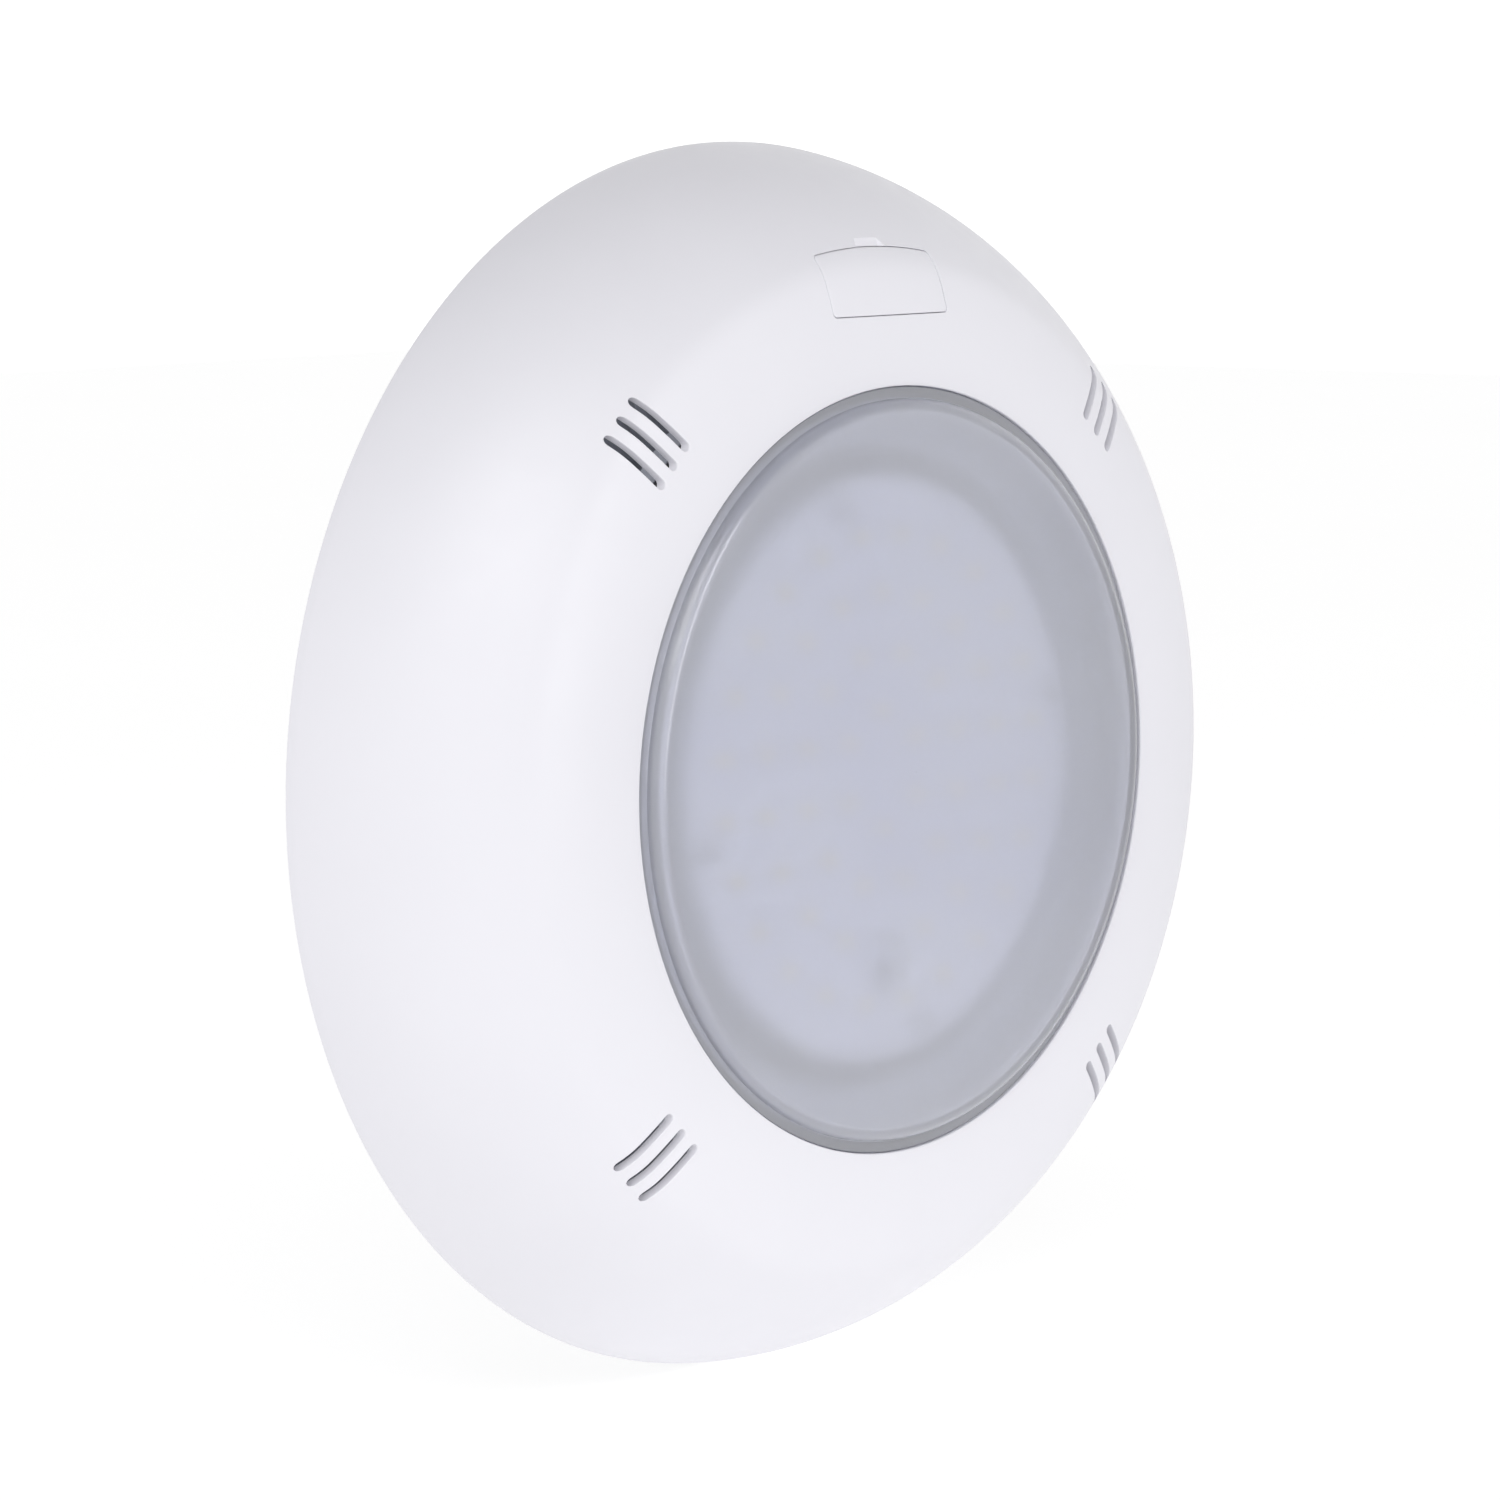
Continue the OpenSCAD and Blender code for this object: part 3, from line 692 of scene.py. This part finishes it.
def bezel_section():
    """Closed (radius, out) section of the bezel's shell, round its outside and back inside."""
    rim = RIM_OUT + RIM_ROUND
    lip_out = OPENING_R + LIP_WALL
    taper_end = RING_FRONT + LIP_TAPER_LENGTH
    section = arc_points((BEZEL_R - RIM_ROUND, rim), RIM_ROUND, -90, 0)
    section += section_arcs(0, 1.5)
    section.pop()
    edge = (OPENING_R + EDGE_ROUND, CREST - EDGE_ROUND)
    section += arc_points(edge, EDGE_ROUND, 90, 180, 10)
    section += [(OPENING_R, taper_end), (OPENING_R + LIP_TAPER, RING_FRONT)]
    section += [(lip_out - LIP_TAPER, RING_FRONT), (lip_out, taper_end)]
    section.append((lip_out, CREST - BEZEL_WALL - LIP_ROOT))
    inner = section_arcs(BEZEL_WALL, 3)
    section += [(r, out) for r, out in reversed(inner) if r > lip_out + LIP_ROOT]
    section += arc_points((BEZEL_R - BEZEL_WALL + RIM_ROUND, rim), RIM_ROUND, 180, 270)
    return section


def ear_places():
    """Places of the four bosses over the housing's ears, as (x, up)."""
    places = []
    for angle in EAR_ANGLES:
        a = math.radians(angle)
        places.append((EAR_R * math.cos(a), EAR_R * math.sin(a)))
    return places


def bezel_fittings():
    """Pocket block, bosses, pivot ears and ribs, trimmed to end inside the shell's wall."""
    block = bmesh.new()
    outline = cover_outline(POCKET_WALL)
    back = POCKET_FLOOR - POCKET_FLOOR_T
    loft(block, [at_level(outline, back), at_level(outline, FITTING_FRONT)])
    fittings = scratch(block)
    boss_back = high("clip_nut")[2] + SCREW_BOSS_GAP
    additions = [cylinder((0, SCREW_UP), SCREW_BOSS_R, boss_back, POCKET_FLOOR - 1)]
    for at in ear_places():
        boss = cylinder(at, EAR_BOSS_R, FLANGE_FRONT, FITTING_FRONT, EAR_BOSS_TAPER)
        additions.append(boss)
    for side in (-1, 1):
        near, far = sorted((side * PIVOT_EAR_X[0], side * PIVOT_EAR_X[1]))
        low_corner = (near, PIVOT_UP - PIVOT_EAR_BELOW, PIVOT_EAR_BACK)
        additions.append(box_solid(low_corner, (far, PIVOT_UP + PIVOT_EAR_ABOVE, FITTING_FRONT)))
    for angle in RIB_ANGLES:
        additions.append(stiffening_rib(angle))
    for extra in additions:
        combine(fittings, "UNION", extra)
    combine(fittings, "INTERSECT", dome(BEZEL_WALL / 2, bottom=1.0))
    return fittings


def build_bezel():
    """Domed ring with its lip, pocket, bosses, ribs, slots and notch."""
    bm = bmesh.new()
    lathe(bm, bezel_section(), 360)
    bezel = piece_from("bezel_shell", bm, WHITE)
    combine(bezel, "UNION", bezel_fittings())

    cutters = [cover_seat_cutter(), pocket_cutter(), notch_cutter()]
    cutters.append(cylinder((0, SCREW_UP), SCREW_HOLE_R, 0, POCKET_FLOOR + 1))
    for at in ear_places():
        cutters.append(cylinder(at, EAR_HOLE_R, 0, EAR_HOLE_FRONT))
    for angle in SLOT_ANGLES:
        for k in (-1, 0, 1):
            cutters.append(slot_cutter(k * SLOT_PITCH, angle))
    combine(bezel, "DIFFERENCE", *cutters)
    pin_start = (-PIVOT_HOLE_HALF_LENGTH, PIVOT_UP, PIVOT_OUT)
    pin_hole = cross_cylinder(pin_start, 2 * PIVOT_HOLE_HALF_LENGTH, PIVOT_HOLE_R)
    combine(bezel, "DIFFERENCE", pin_hole)
    dress(bezel, WHITE, 25)
    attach(bezel, "lamp")
    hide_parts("bezel")


def build_cover():
    """Screw cover: a skin that follows the bezel, with rounded edges and two guide legs."""
    bm = bmesh.new()
    skirt = cover_outline(-COVER_GAP)
    rings = [shrunk(skirt, share, COVER_T) for share in (0.02, 0.3, 0.6, 0.85)]
    rings.append(on_surface(skirt, 0, COVER_T))
    for a in (0, 22, 45, 67, 90):
        inward = COVER_EDGE * (1 - math.cos(math.radians(a)))
        drop = COVER_EDGE * (1 - math.sin(math.radians(a)))
        rings.append(on_surface(cover_outline(-COVER_GAP - inward), -drop))
    face = cover_outline(-COVER_GAP - COVER_EDGE)
    for step in range(1, 14):
        rings.append(shrunk(face, 1 - step / 14, 0))
    rings.append(shrunk(face, 0.01, 0))
    loft(bm, rings)
    cover = piece_from("cover_skin", bm, WHITE)
    legs = []
    for side in (-1, 1):
        near, far = sorted((side * COVER_LEG_X[0], side * COVER_LEG_X[1]))
        low_corner = (near, SCREW_UP - COVER_LEG_HALF_H, COVER_LEG_OUT[0])
        high_corner = (far, SCREW_UP + COVER_LEG_HALF_H, COVER_LEG_OUT[1])
        legs.append(box_solid(low_corner, high_corner))
    for leg in legs:
        combine(leg, "INTERSECT", dome(COVER_T / 2))
    combine(cover, "UNION", *legs)
    dress(cover, WHITE, 25)
    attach(cover, "cover")
    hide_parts("screw_cover")


# ---------------------------------------------------------------- lens

def lens_face(inset, shoulder_step):
    """Outer or inner face of the lens's raised body from its step to its middle."""
    rise = high("lens")[2] - LENS_STEP - SHOULDER_R
    core = LENS_BODY_R - SHOULDER_R
    tilt = math.degrees(math.atan(2 * rise / core))
    face_r = core / math.sin(math.radians(tilt))
    points = []
    count = round((90 - tilt) / shoulder_step)
    for k in range(count + 1):
        slope = 90 + (tilt - 90) * k / count
        p = Vector((core, LENS_STEP)) + (SHOULDER_R - inset) * outward(slope)
        points.append((p.x, p.y))
    crown = Vector((core, LENS_STEP)) + (SHOULDER_R - face_r) * outward(tilt)
    for k in range(1, 25):
        p = crown + (face_r - inset) * outward(tilt * (1 - k / 24))
        points.append((max(p.x, 0.0), p.y))
    return points


def build_lens():
    """Lens with its seated flange, flat outer ring and raised, slightly domed middle."""
    section = [(LENS_R, FLANGE_FRONT + LENS_FLANGE_T + LENS_EDGE)]
    section += arc_points((LENS_R - LENS_EDGE, LENS_STEP - LENS_EDGE), LENS_EDGE, 0, 90, 4)
    section.append((LENS_BODY_R + 0.2, LENS_STEP))
    section.append((LENS_BODY_R, LENS_STEP + 0.15))
    section += lens_face(0, 6)[1:]
    section += list(reversed(lens_face(LENS_WALL, 15)))
    inner = LENS_R - LENS_WALL
    section.append((inner, LENS_STEP - LENS_WALL))
    section += [(inner, FLANGE_FRONT + LENS_EDGE), (inner + LENS_EDGE, FLANGE_FRONT)]
    flange_edge = LENS_FLANGE_R - LENS_EDGE
    section += arc_points((flange_edge, FLANGE_FRONT + LENS_EDGE), LENS_EDGE, -90, 0, 3)
    top = FLANGE_FRONT + LENS_FLANGE_T
    section += arc_points((flange_edge, top - LENS_EDGE), LENS_EDGE, 0, 90, 3)
    section.append((LENS_R + LENS_EDGE, top))
    bm = bmesh.new()
    lathe(bm, section, 288)
    lens = piece_from("lens_shell", bm, LENS, 40)
    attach(lens, "lamp")
    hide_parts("lens")


# ---------------------------------------------------------------- carried-over CAD nodes

# Width of the rounded edges of each CAD node that is kept, in millimetres
EDGES = {
    "wall_plate": 0.5, "clip_nut": 0.15, "pivot_pin": 0.4, "pin_clips": 0.15,
    "bezel_screws": 0.2, "housing": 0.5, "lens_gasket": 0.2, "clamp_ring": 0.3,
    "clamp_screws": 0.15, "heat_spreader": 0.2, "led_board": 0.1, "led_chips": 0.12,
    "board_standoffs": 0.3, "board_screws": 0.15, "driver_board": 0.1, "driver_screws": 0.12,
    "toroid_core": 1.0, "toroid_winding": 0.4, "capacitors": 0.7, "rectifier": 0.4,
    "driver_chips": 0.15, "terminal_block": 0.3, "terminal_screws": 0.1, "gland_body": 0.5,
    "gland_seal": 0.2, "gland_locknut": 0.4, "gland_grommet": 0.4, "gland_nut": 0.7,
    "retaining_washer": 0.2, "fixing_screw": 0.3,
}


def dress_cad_nodes():
    """Gives every CAD node its slot's material and the kept ones rounded edges."""
    for row in frame["record"]["subparts"]:
        name = row["node"]
        node = nodes[name]
        node.data.materials.clear()
        # The housing gets the grey plastic with painted shade inside its hollow
        finish = HOUSING_WITH_PAINTED_SHADE if name == "housing" else SLOT_MATERIALS[row["material_slot"]]
        node.data.materials.append(finish)
        if name in EDGES:
            bevel = node.modifiers.new("edges", "BEVEL")
            bevel.width = EDGES[name] * MM
            bevel.segments = 2
            bevel.limit_method = "ANGLE"
            bevel.angle_limit = math.radians(40)
            bevel.harden_normals = True


# ---------------------------------------------------------------- camera, light and floor

# Camera: direction in degrees, distance and shifts in metres
CAMERA_FROM = (-47.978, 6.544)
CAMERA_ROLL = -0.625
CAMERA_DISTANCE = 1.40948
CAMERA_SIDE = 0.00519
CAMERA_UP = 0.00115
CAMERA_LENS = 139.4

HORIZON_LIGHT = 1.22
ZENITH_LIGHT = 0.0
# Heights of the unit sphere between which the surroundings go dim
DIM_BETWEEN = (0.35, 0.95)
LEFT_LOSS = -0.06
FRONT_RIGHT_LOSS = -0.22
FLOOR_GLOW = 0.77
FLOOR_GLOW_IN_FRONT = 0.30
# Y between which the glow rises, in metres
GLOW_RISE = (-0.6, -0.25)
FLOOR_HALF = 4.0
FLOOR_DROP = 0.001


def aim(azimuth, elevation):
    """Direction from the light towards a viewer: azimuth from -Y, elevation above level."""
    a = math.radians(azimuth)
    e = math.radians(elevation)
    return Vector((math.sin(a) * math.cos(e), -math.cos(a) * math.cos(e), math.sin(e)))


def make_camera():
    """Long lens from the left and slightly above, shifted and rolled a little."""
    back = aim(*CAMERA_FROM)
    target = place((0, 0, RIM_OUT))
    look = (-back).to_track_quat("-Z", "Y").to_matrix()
    spin = Matrix.Rotation(math.radians(CAMERA_ROLL), 3, "Z")
    turned = look @ spin
    side = turned @ Vector((1, 0, 0))
    up = turned @ Vector((0, 1, 0))
    data = bpy.data.cameras.new("camera")
    data.lens = CAMERA_LENS
    data.sensor_width = 36
    camera = bpy.data.objects.new("camera", data)
    bpy.context.scene.collection.objects.link(camera)
    place_at = target + back * CAMERA_DISTANCE + side * CAMERA_SIDE + up * CAMERA_UP
    camera.matrix_world = Matrix.Translation(place_at) @ turned.to_4x4()
    bpy.context.scene.camera = camera


def area_light(name, towards, distance, width, height, power):
    """Softbox that faces the light's middle from a direction."""
    data = bpy.data.lights.new(name, "AREA")
    data.shape = "RECTANGLE"
    data.size = width
    data.size_y = height
    data.energy = power
    lamp = bpy.data.objects.new(name, data)
    bpy.context.scene.collection.objects.link(lamp)
    centre = (cad_box[0] + cad_box[1]) / 2
    turn = towards.to_track_quat("Z", "Y").to_matrix().to_4x4()
    lamp.matrix_world = Matrix.Translation(centre + towards * distance) @ turn


def make_world():
    """Studio surroundings: white at the horizon, dimmer overhead, left and front right."""
    world = bpy.data.worlds.new("studio")
    bpy.context.scene.world = world
    world.use_nodes = True
    tree = world.node_tree
    background = tree.nodes["Background"]
    towards = tree.nodes.new("ShaderNodeTexCoord").outputs["Generated"]
    split = tree.nodes.new("ShaderNodeSeparateXYZ")
    tree.links.new(towards, split.inputs["Vector"])
    overhead = spread(tree, split.outputs["Z"], HORIZON_LIGHT, ZENITH_LIGHT, *DIM_BETWEEN)
    left = spread(tree, split.outputs["X"], LEFT_LOSS, 0.0, -1.0, 0.0)
    along = tree.nodes.new("ShaderNodeVectorMath")
    along.operation = "DOT_PRODUCT"
    tree.links.new(towards, along.inputs[0])
    along.inputs[1].default_value = aim(45, 0)
    right = spread(tree, along.outputs["Value"], 0.0, FRONT_RIGHT_LOSS, 0.0, 1.0)
    sides = tree.nodes.new("ShaderNodeMath")
    tree.links.new(left, sides.inputs[0])
    tree.links.new(right, sides.inputs[1])
    total = tree.nodes.new("ShaderNodeMath")
    tree.links.new(overhead, total.inputs[0])
    tree.links.new(sides.outputs["Value"], total.inputs[1])
    background.inputs["Color"].default_value = (1, 1, 1, 1)
    tree.links.new(total.outputs["Value"], background.inputs["Strength"])


def make_floor():
    """Pale light table that the object stands just above, dimmer towards the front."""
    m, tree, shader, where = new_material("pale_floor")
    colour = tint(tree, noise(tree, where, 3, 2), (0.33, 0.33, 0.33), (0.35, 0.35, 0.35))
    tree.links.new(colour, shader.inputs["Base Color"])
    shader.inputs["Roughness"].default_value = 0.9
    shader.inputs["Emission Color"].default_value = (1, 1, 1, 1)
    split = tree.nodes.new("ShaderNodeSeparateXYZ")
    tree.links.new(where, split.inputs["Vector"])
    glow = spread(tree, split.outputs["Y"], FLOOR_GLOW_IN_FRONT, FLOOR_GLOW, *GLOW_RISE)
    tree.links.new(glow, shader.inputs["Emission Strength"])
    bm = bmesh.new()
    level = cad_box[0].z - FLOOR_DROP
    a = -FLOOR_HALF
    b = FLOOR_HALF
    corners = [(a, a), (b, a), (b, b), (a, b)]
    bm.faces.new([bm.verts.new((x, y, level)) for x, y in corners])
    mesh = bpy.data.meshes.new("floor")
    bm.to_mesh(mesh)
    bm.free()
    floor = bpy.data.objects.new("floor", mesh)
    floor.data.materials.append(m)
    bpy.context.scene.collection.objects.link(floor)


dress_cad_nodes()
build_bezel()
build_cover()
build_lens()
make_camera()
make_world()
make_floor()
area_light("strip", aim(4, 12), 1.6, 0.25, 1.5, 5.5)
area_light("upper_left", aim(-50, 42), 2.0, 1.2, 1.2, 12.0)
bpy.context.scene.view_settings.view_transform = "Standard"
